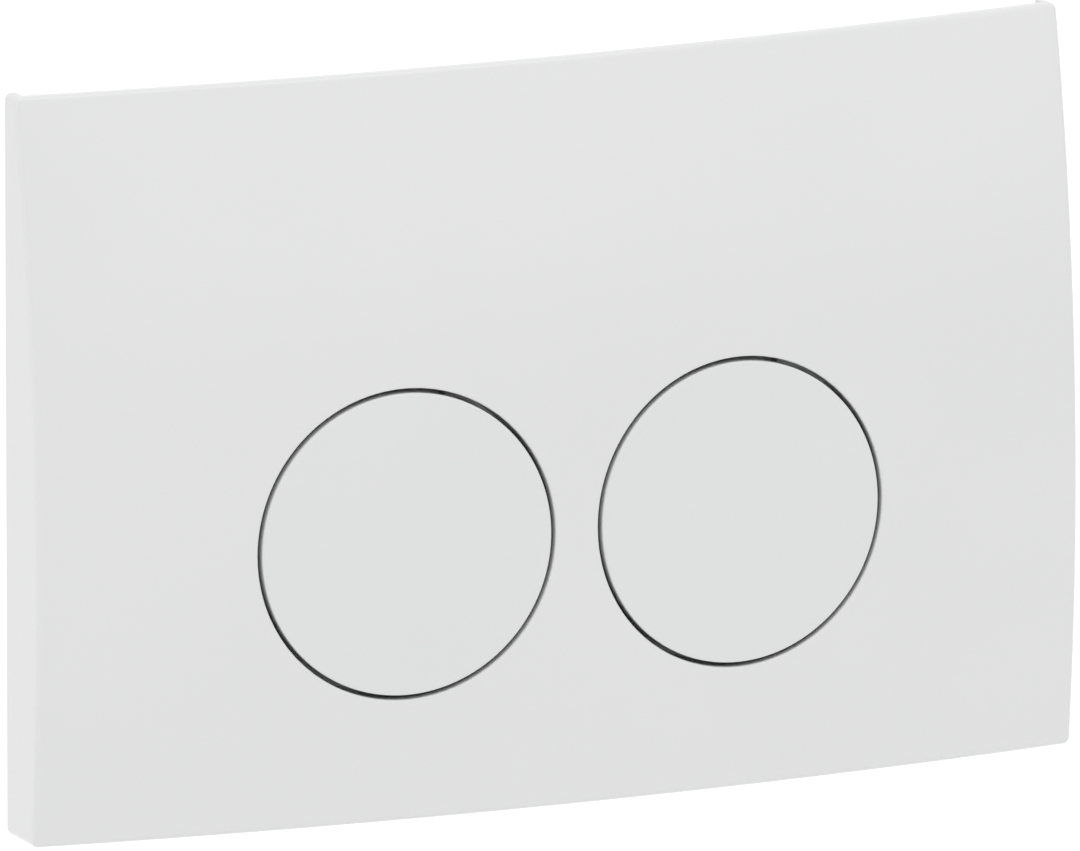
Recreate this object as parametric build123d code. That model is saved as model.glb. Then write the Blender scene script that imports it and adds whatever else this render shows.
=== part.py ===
from build123d import *
import math
import os

# Dual flush button plate for a concealed cistern, in millimetres.
# X runs to the right as seen from the front, Y into the wall and Z up.
# The origin lies on the wall plane, in the middle of the plate.

# Front cover
plate_width = 246.0
plate_height = 164.0
side_depth = 18.0
deepest_height = -25.0
across_radius = 865.0
upright_radius = 500.0
cover_wall = 2.5
cover_corner_radius = 1.5
cover_edge_radius = 1.2
finger_groove_height = 3.6
rim_gap = 0.5
stiffener_wall = 1.6
stiffener_height = 4.0
stiffener_spacing = 27.0
cross_stiffener_height = 48.0

# Round buttons
button_diameter = 66.8
button_gap = 1.0
button_spacing = 78.8
button_height = -20.2
cap_wall = 2.2
skirt_wall = 2.0
gap_edge_radius = 0.4
collar_wall = 2.0
stake_angles = (45.0, 135.0, 225.0, 315.0)
stake_circle_radius = 22.0
stake_post_diameter = 7.0
stake_diameter = 3.0
stake_head_diameter = 5.4
stake_head_height = 1.1

# Hinge and lever
press_angle = 5.0
hinge_pin_diameter = 3.0
hinge_pin_chamfer = 0.3
hinge_eye_wall = 1.5
hinge_lug_wall = 2.0
hinge_face_gap = 0.4
arm_spacing = 28.0
arm_width = 5.0
lug_width = 4.0
lever_wall = 2.5
lever_arm_depth = 4.0
lever_edge_gap = 1.9
lever_flange_wall = 1.5
lever_flange_overlap = 0.6
lever_flange_root = 1.0
lever_window_diameter = 15.0
lever_rib_wall = 1.6
lever_rib_height = 3.0
pusher_diameter = 7.0
pusher_length = 4.5

# Rest stop
stop_tab_width = 12.0
stop_tab_wall = 2.0
stop_tab_length = 5.0
buffer_wall = 1.2
buffer_corner_radius = 1.0
buffer_peg_diameter = 2.4
buffer_peg_length = 3.0
platform_height = 5.0
platform_margin = 1.0

# Leg spring on the hinge pin
spring_wire = 0.9
spring_radius = 2.4
spring_pitch = 1.15
spring_turns = 5
spring_lower_leg = 16.0
spring_upper_leg_angle = 18.0
spring_bend_swell = 1.05
spring_leg_fit_steps = 6

# Push rods
rod_spacing = 62.0
rod_height = -44.5
rod_diameter = 6.0
rod_reach = 62.0
rod_tip_chamfer = 0.8
rod_spigot_diameter = 5.0
rod_spigot_length = 20.0
rod_head_diameter = 12.0
rod_head_height = 5.0
rod_thread_depth = 4.0
lock_nut_across_flats = 10.0
lock_nut_height = 3.0
guide_wall = 2.0
guide_length = 14.0
guide_flange_diameter = 14.0
guide_flange_height = 1.5
guide_lip_length = 4.0
guide_lip_height = 0.4

# Mounting frame
frame_side_gap = 13.5
frame_top_gap = 10.0
frame_corner_radius = 8.0
frame_base = 2.2
frame_rim_wall = 1.8
frame_depth = 6.5
frame_bar_top = 16.0
frame_bar_bottom = 33.0
frame_bar_side = 37.0
frame_window_radius = 6.0
frame_rib_wall = 1.5
frame_rib_spacing = 20.0
side_ribs_above_pad = 1
side_ribs_below_pad = 2
well_wall = 1.8
well_clearance = 2.4
well_floor = 2.5

# Spacer bolts and hand nuts
bolt_side_inset = 23.0
bolt_height = 14.0
bolt_diameter = 8.0
bolt_reach = 60.0
bolt_head_stand = 1.5
bolt_collar_diameter = 12.4
bolt_collar_width = 3.0
bolt_collar_pocket = 2.0
bolt_slot_width = 1.2
bolt_slot_depth = 1.6
bolt_pad_width = 22.0
bolt_slot_travel = 8.0
bolt_pad_depth = 6.0
bolt_nut_diameter = 18.0
bolt_nut_height = 5.0
bolt_nut_grips = 12
bolt_nut_grip_radius = 1.3

# Latch posts and their wire springs
latch_side_inset = 9.0
latch_top_inset = 15.0
latch_bottom_inset = 9.0
post_diameter = 7.0
post_neck_diameter = 5.0
post_tip_diameter = 3.5
post_end_gap = 1.5
latch_wire = 1.2
latch_leg_length = 15.0
latch_boss_size = 16.0
latch_boss_depth = 7.5
latch_height_above_wall = 4.6

# Clearances
hinge_clearance = 0.08
press_clearance = 0.02
slide_clearance = 0.08
thread_clearance = 0.05
seat_gap = 0.3
push_gap = 0.2
loose_gap = 0.4
travel_margin = 1.0
cut_margin = 1.0
sweep_overrun = 1.2

# Dependent sizes of the bowed front
front_bow = across_radius - math.sqrt(across_radius**2 - (plate_width / 2) ** 2)
middle_depth = side_depth + front_bow
sweep_axis_y = across_radius - middle_depth
profile_centre_y = upright_radius - middle_depth
sweep_half_angle = sweep_overrun * math.degrees(math.asin(plate_width / 2 / across_radius))
sweep_half_height = sweep_overrun * plate_height / 2
ahead_y = -2 * middle_depth


def front_y(x, z, inset=0.0):
    """Y of the bowed front, or of a surface set back behind it."""
    profile = math.sqrt((upright_radius - inset) ** 2 - (z - deepest_height) ** 2)
    ring_radius = across_radius - upright_radius + profile
    return sweep_axis_y - math.sqrt(ring_radius**2 - x**2)


# Dependent sizes of the buttons and hinges
hole_radius = button_diameter / 2 + button_gap
collar_radius = hole_radius + collar_wall
eye_radius = hinge_pin_diameter / 2 + hinge_eye_wall
lug_radius = hinge_pin_diameter / 2 + hinge_lug_wall
button_x = button_spacing / 2
hinge_z = button_height + collar_radius + eye_radius + seat_gap
hinge_outer_x = button_x + (arm_spacing + arm_width) / 2
hinge_y = front_y(hinge_outer_x, hinge_z + eye_radius, cover_wall) + eye_radius + hinge_face_gap
hinge_pin_length = arm_spacing + arm_width + 2 * (loose_gap + lug_width)
lever_front_y = hinge_y - lever_arm_depth / 2
lever_back_y = lever_front_y + lever_wall
lever_radius = button_diameter / 2 - skirt_wall - lever_edge_gap
skirt_back_y = lever_back_y - seat_gap / 2
collar_back_y = skirt_back_y - loose_gap
pusher_tip_y = lever_back_y + pusher_length
stop_tab_front_y = collar_back_y + buffer_wall + seat_gap
rod_lever = hinge_z - rod_height
rod_travel = rod_lever * math.radians(press_angle)

# Dependent sizes of the rods and the frame
rod_x = rod_spacing / 2
rod_head_front_y = pusher_tip_y + push_gap
rod_head_back_y = rod_head_front_y + rod_head_height
rod_front_y = rod_head_back_y - rod_thread_depth
lock_nut_back_y = rod_head_back_y + lock_nut_height
guide_front_y = lock_nut_back_y + rod_travel + travel_margin
guide_seat_y = guide_front_y + guide_flange_height
guide_outer_radius = rod_diameter / 2 + slide_clearance + guide_wall
well_inner_radius = rod_head_diameter / 2 + well_clearance
well_back_y = guide_seat_y + well_floor
frame_x = plate_width / 2 - cover_wall - frame_side_gap
frame_top_z = plate_height / 2 - finger_groove_height - cover_wall - frame_top_gap
frame_bottom_z = -plate_height / 2 + cover_wall + frame_top_gap + finger_groove_height
frame_height = frame_top_z - frame_bottom_z
frame_middle_z = (frame_top_z + frame_bottom_z) / 2
window_x = frame_x - frame_bar_side
window_top_z = frame_top_z - frame_bar_top
window_bottom_z = frame_bottom_z + frame_bar_bottom
bolt_x = frame_x - bolt_side_inset
bolt_pad_reach = (bolt_pad_width + bolt_slot_travel) / 2
bolt_nut_front_y = -bolt_pad_depth - bolt_nut_height
bolt_front_y = bolt_nut_front_y - bolt_head_stand
latch_x = frame_x - latch_side_inset
latch_top_z = frame_top_z - latch_top_inset
latch_bottom_z = frame_bottom_z + latch_bottom_inset
latch_leg_offset = post_neck_diameter / 2 + latch_wire / 2 + press_clearance
latch_y = -latch_height_above_wall
neck_half_length = latch_wire / 2 + seat_gap / 2


def block(x_from, x_to, y_from, y_to, z_from, z_to):
    """A box between two corners."""
    middle = Pos((x_from + x_to) / 2, (y_from + y_to) / 2, (z_from + z_to) / 2)
    return middle * Box(x_to - x_from, y_to - y_from, z_to - z_from)


def round_along_y(x, z, radius, y_from, y_to):
    """A cylinder that points into the wall."""
    return Pos(x, (y_from + y_to) / 2, z) * Rot(90, 0, 0) * Cylinder(radius, y_to - y_from)


def round_along_x(x_from, x_to, y, z, radius):
    """A cylinder that lies across the plate."""
    return Pos((x_from + x_to) / 2, y, z) * Rot(0, 90, 0) * Cylinder(radius, x_to - x_from)


def turned_along_y(x, z, outline):
    """A turned piece that points into the wall, from (radius, y) corners."""
    profile = make_face(Polyline([(radius, y) for radius, y in outline], close=True))
    return Pos(x, 0, z) * revolve(profile, Axis.Y)


def behind_front(inset):
    """Everything behind the bowed front, or behind a surface set back from it."""
    low_z = -sweep_half_height
    high_z = sweep_half_height
    back_y = 2 * front_bow
    radius = upright_radius - inset

    def front_point(z):
        return (profile_centre_y - math.sqrt(radius**2 - (z - deepest_height) ** 2), z)

    front = ThreePointArc(front_point(low_z), front_point(0), front_point(high_z))
    back = Polyline(front_point(high_z), (back_y, high_z), (back_y, low_z), front_point(low_z))
    profile = Plane.YZ * make_face(front + back)
    sweep_axis = Axis((0, sweep_axis_y, 0), (0, 0, 1))
    swept = revolve(profile, sweep_axis, 2 * sweep_half_angle)
    return swept.rotate(sweep_axis, -sweep_half_angle)


def on_panel(shape, panel_inset=None):
    """Cuts a rib or boss to the panel that it stands on, rooted inside the wall."""
    inset = cover_wall / 2 if panel_inset is None else panel_inset
    return shape & behind_front(inset)


front_outer = behind_front(0)
front_inner = behind_front(cover_wall)


def latch_places():
    """The four latch places as (name, x, z)."""
    places = []
    for row, z in (("top", latch_top_z), ("bottom", latch_bottom_z)):
        for column, side in (("left", -1), ("right", 1)):
            places.append((row + "_" + column, side * latch_x, z))
    return places


def stake_places(x):
    """Where the four posts stand behind a button, as (x, z)."""
    places = []
    for angle in stake_angles:
        across = stake_circle_radius * math.cos(math.radians(angle))
        upright = stake_circle_radius * math.sin(math.radians(angle))
        places.append((x + across, button_height + upright))
    return places


def cover_shell():
    """The bowed panel with its four walls and the finger groove along the top."""
    half_width = plate_width / 2
    half_height = plate_height / 2
    outer = front_outer & block(-half_width, half_width, ahead_y, -rim_gap, -half_height, half_height)
    outer = fillet(outer.edges().filter_by(Axis.Y), cover_corner_radius)
    outer = fillet(outer.faces().sort_by(Axis.Y)[0].edges(), cover_edge_radius)
    inner_x = half_width - cover_wall
    groove_z = half_height - finger_groove_height
    cavity = block(-inner_x, inner_x, ahead_y, 0, -half_height + cover_wall, groove_z - cover_wall)
    groove = block(-inner_x, inner_x, ahead_y, 0, groove_z, half_height + cut_margin)
    return outer - (front_inner & cavity) - (front_inner & groove)


def collar(x):
    """The ring behind each button hole, notched where the lever's arms pass."""
    ring = round_along_y(x, button_height, collar_radius, -middle_depth, collar_back_y)
    for side in (-1, 1):
        arm_x = x + side * arm_spacing / 2
        half = arm_width / 2 + loose_gap
        ring -= block(arm_x - half, arm_x + half, lever_front_y - loose_gap, 0, button_height, hinge_z)
    return ring


def hinge_lugs(x):
    """Two lugs that hold the ends of a hinge pin."""
    lugs = []
    for side in (-1, 1):
        inner = x + side * (arm_spacing / 2 + arm_width / 2 + loose_gap)
        outer = inner + side * lug_width
        low, high = min(inner, outer), max(inner, outer)
        stem = block(low, high, -middle_depth, hinge_y, hinge_z - lug_radius, hinge_z + lug_radius)
        lugs.append(stem + round_along_x(low, high, hinge_y, hinge_z, lug_radius))
    return lugs


def stop_platform(x):
    """The ledge below a collar that carries the rest buffer."""
    top = button_height - collar_radius + collar_wall / 2
    half = stop_tab_width / 2 + platform_margin
    return block(x - half, x + half, -middle_depth, collar_back_y, top - platform_height, top)


def latch_post(x, z):
    """A post with a neck for the latch wire and a tapered tip."""
    radius = post_diameter / 2
    neck = post_neck_diameter / 2
    shoulder = latch_y - neck_half_length
    catch = latch_y + neck_half_length
    outline = [(0, -middle_depth), (radius, -middle_depth), (radius, shoulder), (neck, shoulder),
               (neck, catch), (radius - seat_gap, catch), (post_tip_diameter / 2, -post_end_gap),
               (0, -post_end_gap)]
    return turned_along_y(x, z, outline)


def cover_ribs():
    """Upright ribs above the buttons and at both sides of them, and one rib across."""
    half_height = plate_height / 2
    top = half_height - finger_groove_height - cover_wall / 2
    bottom = -half_height + cover_wall / 2
    ribs = []
    count = int((plate_width / 2 - cover_wall) // stiffener_spacing)
    for number in range(-count, count + 1):
        x = number * stiffener_spacing
        half = stiffener_wall / 2
        clear_of_buttons = abs(x) > button_x + collar_radius + stiffener_wall
        low = bottom if clear_of_buttons else hinge_z + lug_radius + loose_gap
        ribs.append(block(x - half, x + half, -middle_depth, 0, low, top))
    ribs.append(block(-plate_width / 2 + cover_wall / 2, plate_width / 2 - cover_wall / 2,
                      -middle_depth, 0, cross_stiffener_height - stiffener_wall / 2,
                      cross_stiffener_height + stiffener_wall / 2))
    behind_ribs = behind_front(cover_wall + stiffener_height)
    return [rib - behind_ribs for rib in ribs]


def is_hole_edge(edge):
    """Whether a front edge of the cover runs round a button."""
    middle = edge.center(CenterOf.MASS)
    return math.hypot(abs(middle.X) - button_x, middle.Z - button_height) < hole_radius


def make_cover():
    """The white moulded cover with everything that stands on its back."""
    cover = cover_shell()
    for rib in cover_ribs():
        cover += on_panel(rib)
    for side in (-1, 1):
        x = side * button_x
        cover += on_panel(collar(x))
        cover += on_panel(stop_platform(x))
        for lug in hinge_lugs(x):
            cover += on_panel(lug)
    for _, x, z in latch_places():
        cover += on_panel(latch_post(x, z))
    for side in (-1, 1):
        x = side * button_x
        cover -= round_along_y(x, button_height, hole_radius, ahead_y, 0)
        pin_half = hinge_pin_length / 2 + cut_margin
        cover -= round_along_x(x - pin_half, x + pin_half, hinge_y, hinge_z,
                               hinge_pin_diameter / 2 + press_clearance)
        peg_z = button_height - collar_radius + collar_wall / 2 - platform_height / 2
        cover -= round_along_y(x, peg_z, buffer_peg_diameter / 2 + press_clearance,
                               collar_back_y - buffer_peg_length - seat_gap, collar_back_y)
    front_edges = cover.faces().sort_by(Axis.Y)[0].edges()
    return fillet([edge for edge in front_edges if is_hole_edge(edge)], gap_edge_radius)


def make_cap(side):
    """One round button cap: bowed face, skirt and the posts that carry the lever."""
    x = side * button_x
    radius = button_diameter / 2
    body = round_along_y(x, button_height, radius, ahead_y, skirt_back_y) & front_outer
    body = fillet(body.faces().sort_by(Axis.Y)[0].edges(), gap_edge_radius)
    hollow = round_along_y(x, button_height, radius - skirt_wall, ahead_y, 0)
    body -= hollow & behind_front(cap_wall)
    for arm_side in (-1, 1):
        arm_x = x + arm_side * arm_spacing / 2
        half = arm_width / 2 + loose_gap
        body -= block(arm_x - half, arm_x + half, lever_front_y - loose_gap, 0, button_height, hinge_z)
    tab_half = stop_tab_width / 2 + loose_gap
    body -= block(x - tab_half, x + tab_half, lever_front_y, 0,
                  button_height - radius - cut_margin, button_height - lever_radius)
    for post_x, post_z in stake_places(x):
        post = round_along_y(post_x, post_z, stake_post_diameter / 2, ahead_y, lever_front_y)
        body += on_panel(post, cap_wall / 2)
        body += round_along_y(post_x, post_z, stake_diameter / 2, lever_front_y - cut_margin, lever_back_y)
        body += round_along_y(post_x, post_z, stake_head_diameter / 2, lever_back_y,
                              lever_back_y + stake_head_height)
    return body


def pusher(x):
    """The round-nosed stud that pushes a rod, rooted inside the lever's plate."""
    radius = pusher_diameter / 2
    root_y = lever_back_y - lever_wall / 2
    nose_y = pusher_tip_y - radius
    halfway = radius * math.sqrt(0.5)
    sides = Polyline((0, pusher_tip_y), (0, root_y), (radius, root_y), (radius, nose_y))
    nose = ThreePointArc((radius, nose_y), (halfway, nose_y + halfway), (0, pusher_tip_y))
    return Pos(x, 0, rod_height) * revolve(make_face(sides + nose), Axis.Y)


def lever_flange(x):
    """The rim that closes the gap round the button from behind, open between the hinge arms."""
    back_y = lever_back_y + lever_flange_wall
    rim = round_along_y(x, button_height, hole_radius + lever_flange_overlap, lever_back_y, back_y)
    rim -= round_along_y(x, button_height, lever_radius - lever_flange_root, lever_back_y, back_y)
    half = (arm_spacing - arm_width) / 2
    return rim - block(x - half, x + half, lever_back_y, back_y, button_height, hinge_z)


def make_lever(side):
    """The lever inside a button: plate, rim, two hinge arms, ribs, pusher and stop tab."""
    x = side * button_x
    push_x = side * rod_x
    lever = round_along_y(x, button_height, lever_radius, lever_front_y, lever_back_y)
    lever += lever_flange(x)
    rib_back_y = lever_back_y + lever_rib_height
    for arm_side in (-1, 1):
        arm_x = x + arm_side * arm_spacing / 2
        low, high = arm_x - arm_width / 2, arm_x + arm_width / 2
        arm = block(low, high, lever_front_y, lever_front_y + lever_arm_depth, button_height, hinge_z)
        eye = round_along_x(low, high, hinge_y, hinge_z, eye_radius)
        rib = block(arm_x - lever_rib_wall / 2, arm_x + lever_rib_wall / 2, lever_back_y, rib_back_y,
                    rod_height, hinge_z - eye_radius)
        lever += arm + eye + rib
    tie_half = arm_spacing / 2 + lever_rib_wall / 2
    lever += block(x - tie_half, x + tie_half, lever_back_y, rib_back_y,
                   rod_height - lever_rib_wall / 2, rod_height + lever_rib_wall / 2)
    lever += pusher(push_x)
    half = stop_tab_width / 2
    tab_back_y = stop_tab_front_y + stop_tab_wall
    tab_root_z = button_height - lever_radius + stop_tab_wall
    tab_end_z = button_height - collar_radius - stop_tab_length
    lever += block(x - half, x + half, lever_front_y, tab_back_y,
                   tab_root_z - 2 * stop_tab_wall, tab_root_z)
    lever += block(x - half, x + half, stop_tab_front_y, tab_back_y, tab_end_z, tab_root_z)
    for arm_side in (-1, 1):
        lever -= round_along_x(x + arm_side * arm_spacing / 2 - arm_width,
                               x + arm_side * arm_spacing / 2 + arm_width,
                               hinge_y, hinge_z, hinge_pin_diameter / 2 + hinge_clearance)
    lever -= round_along_y(x, button_height, lever_window_diameter / 2, lever_front_y, rib_back_y)
    for post_x, post_z in stake_places(x):
        lever -= round_along_y(post_x, post_z, stake_diameter / 2 + press_clearance,
                               lever_front_y - cut_margin, lever_back_y)
        lever -= round_along_y(post_x, post_z, stake_head_diameter / 2 + loose_gap,
                               lever_back_y, 0)
    return lever


def make_hinge_pin(side):
    """A plain steel pin with broken ends."""
    x = side * button_x
    pin = round_along_x(x - hinge_pin_length / 2, x + hinge_pin_length / 2, hinge_y, hinge_z,
                        hinge_pin_diameter / 2)
    return chamfer(pin.edges().filter_by(GeomType.CIRCLE), hinge_pin_chamfer)


def make_return_spring(side):
    """A leg spring on the hinge pin: one leg lies on the lever, the other on the cover."""
    x = side * button_x
    lever_touch = lever_back_y - hinge_y + spring_wire / 2 + press_clearance
    start_angle = -math.asin((spring_radius - lever_touch) / spring_lower_leg)
    end_angle = math.radians(spring_upper_leg_angle)
    turn = 2 * math.pi * spring_turns + end_angle - start_angle
    height = spring_pitch * turn / (2 * math.pi)
    wire_radius = spring_wire / 2
    coil_path = Helix(pitch=spring_pitch, height=height, radius=spring_radius)
    start_plane = Plane(origin=coil_path @ 0, z_dir=coil_path % 0)
    coil = sweep(start_plane * Circle(wire_radius), coil_path, is_frenet=True)
    upper_leg = 0.0
    for _ in range(spring_leg_fit_steps):
        leg_z = hinge_z + spring_radius * math.sin(end_angle) + upper_leg * math.cos(end_angle)
        touch_y = front_y(x, leg_z, cover_wall) + wire_radius + press_clearance
        upper_leg = (hinge_y + spring_radius * math.cos(end_angle) - touch_y) / math.sin(end_angle)
    coil_start = Pos(spring_radius, 0, 0)
    coil_end = Pos(0, 0, height) * Rot(0, 0, math.degrees(turn)) * Pos(spring_radius, 0, 0)
    lower = coil_start * Pos(0, -spring_lower_leg / 2, 0) * Rot(90, 0, 0) * Cylinder(
        wire_radius, spring_lower_leg)
    upper = coil_end * Pos(0, upper_leg / 2, 0) * Rot(90, 0, 0) * Cylinder(wire_radius, upper_leg)
    bend = Sphere(wire_radius * spring_bend_swell)
    spring = coil + coil_start * bend + coil_end * bend + lower + upper
    place = Plane(origin=(x - height / 2, hinge_y, hinge_z),
                  x_dir=(0, math.cos(start_angle), math.sin(start_angle)), z_dir=(1, 0, 0))
    return place.location * spring


def make_stop_buffer(side):
    """A soft pad on the platform below the collar, with a peg that holds it."""
    x = side * button_x
    top = button_height - collar_radius + collar_wall / 2
    half = stop_tab_width / 2
    pad = block(x - half, x + half, collar_back_y, collar_back_y + buffer_wall,
                top - platform_height, top)
    pad = fillet(pad.edges().filter_by(Axis.Y), buffer_corner_radius)
    peg = round_along_y(x, top - platform_height / 2, buffer_peg_diameter / 2,
                        collar_back_y - buffer_peg_length, collar_back_y)
    return pad + peg


def make_push_rod(side):
    """A straight rod that reaches into the cistern and ends in a spigot."""
    radius = rod_diameter / 2
    spigot = rod_spigot_diameter / 2
    step_y = rod_reach - rod_spigot_length
    outline = [(0, rod_front_y), (radius - rod_tip_chamfer, rod_front_y),
               (radius, rod_front_y + rod_tip_chamfer), (radius, step_y), (spigot, step_y),
               (spigot, rod_reach - rod_tip_chamfer), (spigot - rod_tip_chamfer, rod_reach), (0, rod_reach)]
    return turned_along_y(side * rod_x, rod_height, outline)


def make_rod_head(side):
    """The screwed head that sets the length of a rod."""
    x = side * rod_x
    head = round_along_y(x, rod_height, rod_head_diameter / 2, rod_head_front_y, rod_head_back_y)
    head = fillet(head.edges().sort_by(Axis.Y)[0], rod_tip_chamfer)
    return head - round_along_y(x, rod_height, rod_diameter / 2 + thread_clearance,
                                rod_front_y - thread_clearance, rod_head_back_y)


def make_lock_nut(side):
    """A thin hexagon nut against the rod's head."""
    hexagon = RegularPolygon(lock_nut_across_flats / 2, 6, major_radius=False)
    plane = Plane(origin=(side * rod_x, rod_head_back_y, rod_height), z_dir=(0, 1, 0))
    nut = extrude(plane * hexagon, lock_nut_height)
    return nut - round_along_y(side * rod_x, rod_height, rod_diameter / 2 + thread_clearance,
                               rod_head_back_y, lock_nut_back_y)


def make_rod_guide(side):
    """A flanged bush that guides a rod through the frame."""
    bore = rod_diameter / 2 + slide_clearance
    flange = guide_flange_diameter / 2
    end_y = guide_front_y + guide_length
    lip = guide_outer_radius + guide_lip_height
    lip_y = well_back_y + press_clearance
    outline = [(bore, guide_front_y), (flange, guide_front_y), (flange, guide_seat_y),
               (guide_outer_radius, guide_seat_y), (guide_outer_radius, lip_y), (lip, lip_y),
               (guide_outer_radius, lip_y + guide_lip_length), (guide_outer_radius, end_y), (bore, end_y)]
    return turned_along_y(side * rod_x, rod_height, outline)


def frame_outline(inset):
    """The frame's rounded outline, set in by the given amount."""
    width = 2 * (frame_x - inset)
    height = frame_height - 2 * inset
    return RectangleRounded(width, height, frame_corner_radius - inset)


def window_outline(grow):
    """The service window's rounded outline, grown by the given amount."""
    width = 2 * (window_x + grow)
    height = window_top_z - window_bottom_z + 2 * grow
    middle_z = (window_top_z + window_bottom_z) / 2 - frame_middle_z
    return Pos(0, middle_z) * RectangleRounded(width, height, frame_window_radius + grow)


def make_frame():
    """The moulded frame on the wall: channel section, bolt pads, latch bosses and rod wells."""
    wall_plane = Plane(origin=(0, 0, frame_middle_z), x_dir=(1, 0, 0), z_dir=(0, -1, 0))
    bar = frame_outline(0) - window_outline(0)
    channel = frame_outline(frame_rim_wall) - window_outline(frame_rim_wall)
    frame = extrude(wall_plane * bar, frame_depth)
    hollow = extrude(wall_plane.offset(frame_base) * channel, frame_depth)
    ribs = frame_ribs()
    for rib in ribs:
        hollow -= rib
    frame -= hollow
    for side in (-1, 1):
        frame += bolt_pad(side * bolt_x)
        frame += round_along_y(side * rod_x, rod_height, well_inner_radius + well_wall,
                               -frame_depth, well_back_y)
    for _, x, z in latch_places():
        half = latch_boss_size / 2
        boss = block(x - half, x + half, -latch_boss_depth, 0, z - half, z + half)
        frame += fillet(boss.edges().filter_by(Axis.Y), latch_wire)
    for side in (-1, 1):
        x = side * rod_x
        frame -= round_along_y(x, rod_height, well_inner_radius, -frame_depth, guide_seat_y)
        frame -= round_along_y(x, rod_height, guide_outer_radius + thread_clearance, 0, well_back_y)
        frame -= bolt_slot(side * bolt_x)
    for _, x, z in latch_places():
        frame -= round_along_y(x, z, post_diameter / 2 + seat_gap, -latch_boss_depth, 0)
        frame -= latch_slot(x, z)
    return frame


def frame_ribs():
    """Cross ribs between the frame's outer and inner rims."""
    ribs = []
    half = frame_rib_wall / 2
    count = int(frame_x // frame_rib_spacing)
    for number in range(-count, count + 1):
        x = number * frame_rib_spacing + frame_rib_spacing / 2
        if abs(x) > window_x:
            continue
        ribs.append(block(x - half, x + half, -frame_depth, 0, window_top_z, frame_top_z))
        ribs.append(block(x - half, x + half, -frame_depth, 0, frame_bottom_z, window_bottom_z))
    boss_half = latch_boss_size / 2
    above = (bolt_height + bolt_pad_reach, latch_top_z - boss_half, side_ribs_above_pad)
    below = (latch_bottom_z + boss_half, bolt_height - bolt_pad_reach, side_ribs_below_pad)
    for low_z, high_z, count in (above, below):
        for number in range(count):
            z = low_z + (high_z - low_z) * (number + 1) / (count + 1)
            ribs.append(block(-frame_x, -window_x, -frame_depth, 0, z - half, z + half))
            ribs.append(block(window_x, frame_x, -frame_depth, 0, z - half, z + half))
    return ribs


def bolt_pad(x):
    """The thick pad that a hand nut bears on."""
    half = bolt_pad_width / 2
    return block(x - half, x + half, -bolt_pad_depth, 0,
                 bolt_height - bolt_pad_reach, bolt_height + bolt_pad_reach)


def bolt_slot(x):
    """An upright slot that lets the frame be set level, with a pocket for the bolt's collar."""
    plane = Plane(origin=(x, 0, bolt_height), x_dir=(0, 0, 1), z_dir=(0, -1, 0))
    slot = SlotCenterToCenter(bolt_slot_travel, bolt_diameter + 2 * seat_gap)
    pocket = SlotCenterToCenter(bolt_slot_travel, bolt_collar_diameter + 2 * seat_gap)
    return extrude(plane * slot, bolt_pad_depth) + extrude(plane * pocket, bolt_collar_pocket)


def latch_slot(x, z):
    """The slit that a latch spring is pushed into, from the plate's middle."""
    half_z = latch_leg_offset + latch_wire / 2 + seat_gap / 2
    half_y = latch_wire / 2 + press_clearance
    side = 1 if x > 0 else -1
    inner = x - side * latch_boss_size / 2
    outer = x + side * (latch_boss_size / 2 - latch_wire)
    low, high = min(inner, outer), max(inner, outer)
    return block(low, high, latch_y - half_y, latch_y + half_y, z - half_z, z + half_z)


def make_latch_spring(x, z):
    """A hairpin of wire whose legs grip the neck of a latch post."""
    side = 1 if x > 0 else -1
    end_x = x + side * (latch_boss_size / 2 - latch_wire - seat_gap)
    bend_x = end_x - side * latch_leg_length
    wire = latch_wire / 2
    low, high = min(end_x, bend_x), max(end_x, bend_x)
    spring = round_along_x(low, high, latch_y, z - latch_leg_offset, wire)
    spring += round_along_x(low, high, latch_y, z + latch_leg_offset, wire)
    bend = Pos(bend_x, latch_y, z) * Rot(90, 0, 0) * Torus(latch_leg_offset, wire)
    reach = latch_leg_offset + latch_wire
    inner, outer = sorted((bend_x, bend_x - side * reach))
    keep = block(inner, outer, latch_y - latch_wire, latch_y + latch_wire, z - reach, z + reach)
    return spring + (bend & keep)


def make_spacer_bolt(side):
    """A long bolt from the cistern, with a collar behind the frame and a slot at the front."""
    x = side * bolt_x
    radius = bolt_diameter / 2
    wide = bolt_collar_diameter / 2
    collar_y = -bolt_collar_pocket
    collar_end_y = collar_y + bolt_collar_width
    outline = [(0, bolt_front_y), (radius - rod_tip_chamfer, bolt_front_y),
               (radius, bolt_front_y + rod_tip_chamfer), (radius, collar_y), (wide, collar_y),
               (wide, collar_end_y), (radius, collar_end_y), (radius, bolt_reach - rod_tip_chamfer),
               (radius - rod_tip_chamfer, bolt_reach), (0, bolt_reach)]
    bolt = turned_along_y(x, bolt_height, outline)
    return bolt - block(x - radius, x + radius, bolt_front_y, bolt_front_y + bolt_slot_depth,
                        bolt_height - bolt_slot_width / 2, bolt_height + bolt_slot_width / 2)


def make_bolt_nut(side):
    """A hand nut with finger grips round its edge."""
    x = side * bolt_x
    radius = bolt_nut_diameter / 2
    nut = round_along_y(x, bolt_height, radius, bolt_nut_front_y, -bolt_pad_depth)
    nut = fillet(nut.edges().sort_by(Axis.Y)[0], rod_tip_chamfer)
    for number in range(bolt_nut_grips):
        angle = 2 * math.pi * number / bolt_nut_grips
        grip_x = x + radius * math.cos(angle)
        grip_z = bolt_height + radius * math.sin(angle)
        nut -= round_along_y(grip_x, grip_z, bolt_nut_grip_radius, bolt_nut_front_y, -bolt_pad_depth)
    return nut - round_along_y(x, bolt_height, bolt_diameter / 2 + thread_clearance,
                               bolt_nut_front_y, -bolt_pad_depth)


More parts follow.
